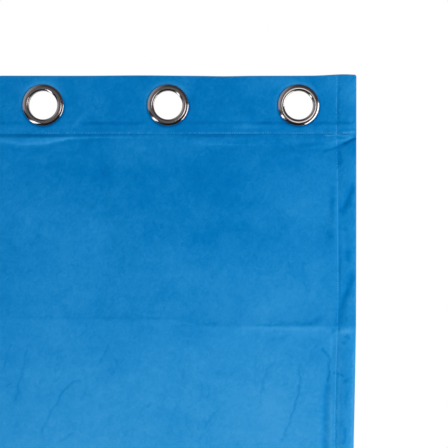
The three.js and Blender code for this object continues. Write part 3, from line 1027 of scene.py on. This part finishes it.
def plated_material():
    """Bright plating with a faint drawn grain and a few soft smears."""
    material, tree, metal = new_material("eyelet plating")
    place = add_node(tree, "ShaderNodeTexCoord").outputs["Object"]
    smears = noise(tree, place, scale=120.0, detail=4.0)
    grain = noise(tree, place, scale=2500.0, detail=1.0)
    set_inputs(tree, metal, {
        "Base Color": mixed(tree, smears, (0.74, 0.71, 0.69, 1), (0.80, 0.78, 0.77, 1)),
        "Metallic": 1.0, "Roughness": mapped(tree, smears, given=(0.0, 1.0), wanted=(0.10, 0.18)),
        "Normal": bumped(tree, grain, strength=0.03, distance=0.0005),
    })
    return material


plating = plated_material()

# The flange's outline runs up the bore, over the dome to the rim, and back along the cloth to the
# barrel. The washer's runs along the cloth to its rim and back over its crest into its bore.
dome = dome_points(bore_radius + bore_edge, rim_radius - rim_round, steps=26)
bore_top = dome[0][1]
rim_top = dome[-1][1]
front_outline = [(bore_radius, tail), (bore_radius, bore_top + 1.1)]
front_outline += arc_points(front_outline[-1], (bore_radius, bore_top + 0.25), dome[0], 4) + dome[1:]
front_outline += arc_points(dome[-1], (rim_radius + 0.05, rim_top + rim_round), (rim_radius, seat), 4)
front_outline += [(barrel_radius + 1, seat), (barrel_radius, seat + 0.5), (barrel_radius, tail)]
spun_rings("eyelet_flange", front_outline, segments=96, replaced="eyelet_front")
back_bore = barrel_radius + 0.15
back_outline = [(back_bore, back_seat), (rim_radius - flat_edge, back_seat)]
back_outline += arc_points(back_outline[-1], (rim_radius, back_seat), (rim_radius, back_seat + 0.5), 3)
back_outline += arc_points(back_outline[-1], (rim_radius - 1, back_crest), (crest_radius, back_crest), 8)
back_outline += arc_points(back_outline[-1], (back_bore, back_crest), (back_bore, back_seat + 1.2), 6)
spun_rings("eyelet_washer", back_outline, segments=72, replaced="eyelet_back")

# ------------------------------------------------------------
# The studio: a pale floor below the hem, a white surround, softboxes to the right, below and
# behind, small lamps that glint in the eyelets, and the camera square to the top right corner.
# ------------------------------------------------------------
scene = bpy.context.scene
scene.view_settings.view_transform = "Standard"

floor_radius = 8.4
floor_drop = 0.02
floor_material, floor_tree, floor_surface = new_material("pale floor")
set_inputs(floor_tree, floor_surface, {"Base Color": (0.86, 0.86, 0.86, 1), "Roughness": 0.7})
floor_shape = bmesh.new()
bmesh.ops.create_circle(floor_shape, cap_ends=True, segments=96, radius=floor_radius)
bmesh.ops.translate(floor_shape, verts=floor_shape.verts, vec=(0, 0, panel_low.z - floor_drop))
floor = as_piece(floor_shape, "floor", [floor_material])
floor.visible_glossy = False

# The surround is seen as plain white and lights the cloth softly. The metal mirrors a dim room
# that turns paler or darker towards some of its sides.
world = bpy.data.worlds.new("surround")
world.use_nodes = True
scene.world = world
surround = world.node_tree
surround.nodes.clear()
rays = add_node(surround, "ShaderNodeLightPath").outputs
direction = add_node(surround, "ShaderNodeTexCoord").outputs["Generated"]
facing = add_node(surround, "ShaderNodeSeparateXYZ", {"Vector": direction}).outputs
mirrored = (0.050, 0.040, 0.044, 1)
for axis, start, end, tone in (
        ("X", 0.0, -0.9, (0.370, 0.320, 0.330, 1)),
        ("Z", -0.05, -0.26, (0.015, 0.012, 0.011, 1)),
        ("Y", -0.80, -0.97, (0.120, 0.115, 0.120, 1)),
        ("Y", 0.10, 0.60, (0.500, 0.500, 0.500, 1))):
    share = mapped(surround, facing[axis], given=(start, end), way="SMOOTHSTEP")
    mirrored = mixed(surround, share, mirrored, tone)


def glow(colour, strength=1.0):
    """The light of the surround in this colour."""
    inputs = {"Color": colour, "Strength": strength}
    return add_node(surround, "ShaderNodeBackground", inputs).outputs[0]


def for_rays(kind, seen, otherwise):
    """One light for this kind of ray and another for the others."""
    inputs = {0: rays[kind], 1: otherwise, 2: seen}
    return add_node(surround, "ShaderNodeMixShader", inputs).outputs[0]


fill = for_rays("Is Glossy Ray", glow(mirrored), glow((0.97, 0.98, 1, 1), 0.38))
all_light = for_rays("Is Camera Ray", glow((1, 1, 1, 1)), fill)
add_node(surround, "ShaderNodeOutputWorld", {"Surface": all_light})


def flat_lamp(name, place, target, size, power, colour=(1, 1, 1), roll=0):
    """A flat lamp that faces a target, rolled about its own axis, which the camera doesn't see."""
    light = bpy.data.lights.new(name, "AREA")
    light.shape = "RECTANGLE"
    light.size, light.size_y = size
    light.energy = power
    light.color = colour
    lamp = bpy.data.objects.new(name, light)
    lamp.location = place
    towards = (Vector(target) - Vector(place)).to_track_quat("-Z", "Y")
    lamp.rotation_euler = (towards.to_matrix() @ Matrix.Rotation(radians(roll), 3, "Z")).to_euler()
    lamp.visible_camera = False
    scene.collection.objects.link(lamp)
    return lamp


# Large softboxes light the cloth, and small glints near the heading shine in its metal alone.
softboxes = (
    flat_lamp("right softbox", place=(3.7, -2.9, -0.45), target=(0.5, 0, -0.25), size=(1.8, 2.6), power=134),
    flat_lamp("low left softbox", place=(-0.9, -2.4, -3.0), target=(0.35, 0, -0.25), size=(2.4, 1.7),
              power=75),
    flat_lamp("back softbox", place=(-2.7, 2.6, -0.3), target=(0, 0, -1.3), size=(2.0, 2.6), power=130),
)
for lamp in softboxes:
    lamp.visible_glossy = False
glints = (
    flat_lamp("near right glint", place=(0.80, -0.06, -0.17), target=(0.45, 0, -0.04), size=(0.14, 0.36),
              power=0.30, colour=(1, 0.97, 0.96)),
    flat_lamp("front right glint", place=(0.715, -0.80, -0.10), target=(0.5, 0, -0.04), size=(0.32, 0.26),
              power=0.31, colour=(1, 0.93, 0.92)),
    flat_lamp("low glint", place=(-0.09, -0.35, -0.52), target=(0.45, 0, -0.04), size=(0.70, 0.17),
              power=0.71, roll=15),
)
for lamp in glints:
    lamp.visible_diffuse = False

view_width = 0.627
view_distance = 2.5
view_middle = (0.5146, -0.208)
camera_data = bpy.data.cameras.new("camera")
camera_data.sensor_width = 36.0
camera_data.lens = camera_data.sensor_width * view_distance / view_width
camera = bpy.data.objects.new("camera", camera_data)
camera.location = (view_middle[0], -view_distance, view_middle[1])
camera.rotation_euler = (pi / 2, 0, 0)
scene.collection.objects.link(camera)
scene.camera = camera
